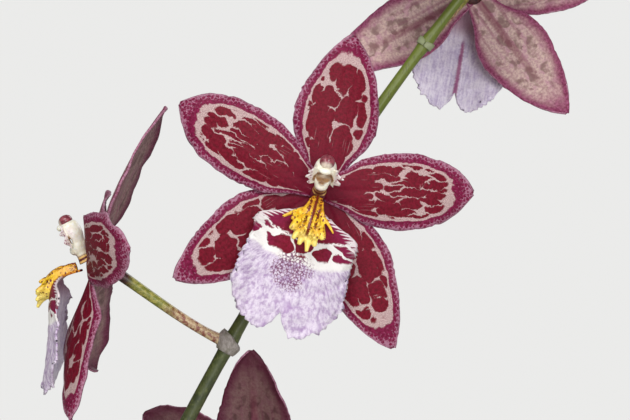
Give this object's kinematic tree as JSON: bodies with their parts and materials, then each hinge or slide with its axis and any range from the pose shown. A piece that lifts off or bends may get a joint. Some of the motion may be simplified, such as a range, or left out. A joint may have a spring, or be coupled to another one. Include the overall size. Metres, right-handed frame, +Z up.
{
  "type": "potted orchid",
  "caption": "Potted orchid with strap leaves, pseudobulbs and one arching spike of crimson, white-netted blooms with ruffled lilac lips and yellow crests.",
  "frame": {"origin": "centre of the pot's flat underside", "axes": "+Z up along the pot's axis; -Y is the front, towards which the main bloom looks; the spike leans to +X"},
  "size_m": [0.4461, 0.3559, 0.5573],
  "materials": {
    "terracotta": "matte",
    "bark": "matte",
    "root": "matte",
    "pseudobulb": "satin",
    "leaf": "satin",
    "spike": "satin",
    "tepal": "satin",
    "lip": "satin",
    "crest": "satin",
    "column": "satin",
    "anther": "satin",
    "bud": "satin"
  },
  "bodies": {
    "root": {"pot": "terracotta", "bark": "bark", "rhizome_and_roots": "root", "pseudobulb_1": "pseudobulb", "pseudobulb_2": "pseudobulb", "pseudobulb_3": "pseudobulb", "pseudobulb_4": "pseudobulb", "leaf_1": "leaf", "leaf_2": "leaf", "leaf_3": "leaf", "leaf_4": "leaf", "leaf_5": "leaf", "leaf_6": "leaf", "leaf_7": "leaf", "leaf_8": "leaf", "leaf_9": "leaf", "spike": "spike", "bloom_1_tepals": "tepal", "bloom_1_lip": "lip", "bloom_1_crest": "crest", "bloom_1_column": "column", "bloom_1_anther": "anther", "bloom_2_tepals": "tepal", "bloom_2_lip": "lip", "bloom_2_crest": "crest", "bloom_2_column": "column", "bloom_2_anther": "anther", "bloom_3_tepals": "tepal", "bloom_3_lip": "lip", "bloom_3_crest": "crest", "bloom_3_column": "column", "bloom_3_anther": "anther", "bloom_4_tepals": "tepal", "bloom_4_lip": "lip", "bloom_4_crest": "crest", "bloom_4_column": "column", "bloom_4_anther": "anther", "bloom_5_tepals": "tepal", "bloom_5_lip": "lip", "bloom_5_crest": "crest", "bloom_5_column": "column", "bloom_5_anther": "anther", "bloom_6_tepals": "tepal", "bloom_6_lip": "lip", "bloom_6_crest": "crest", "bloom_6_column": "column", "bloom_6_anther": "anther", "bud_1": "bud", "bud_2": "bud", "bud_3": "bud"}
  },
  "joints": []
}
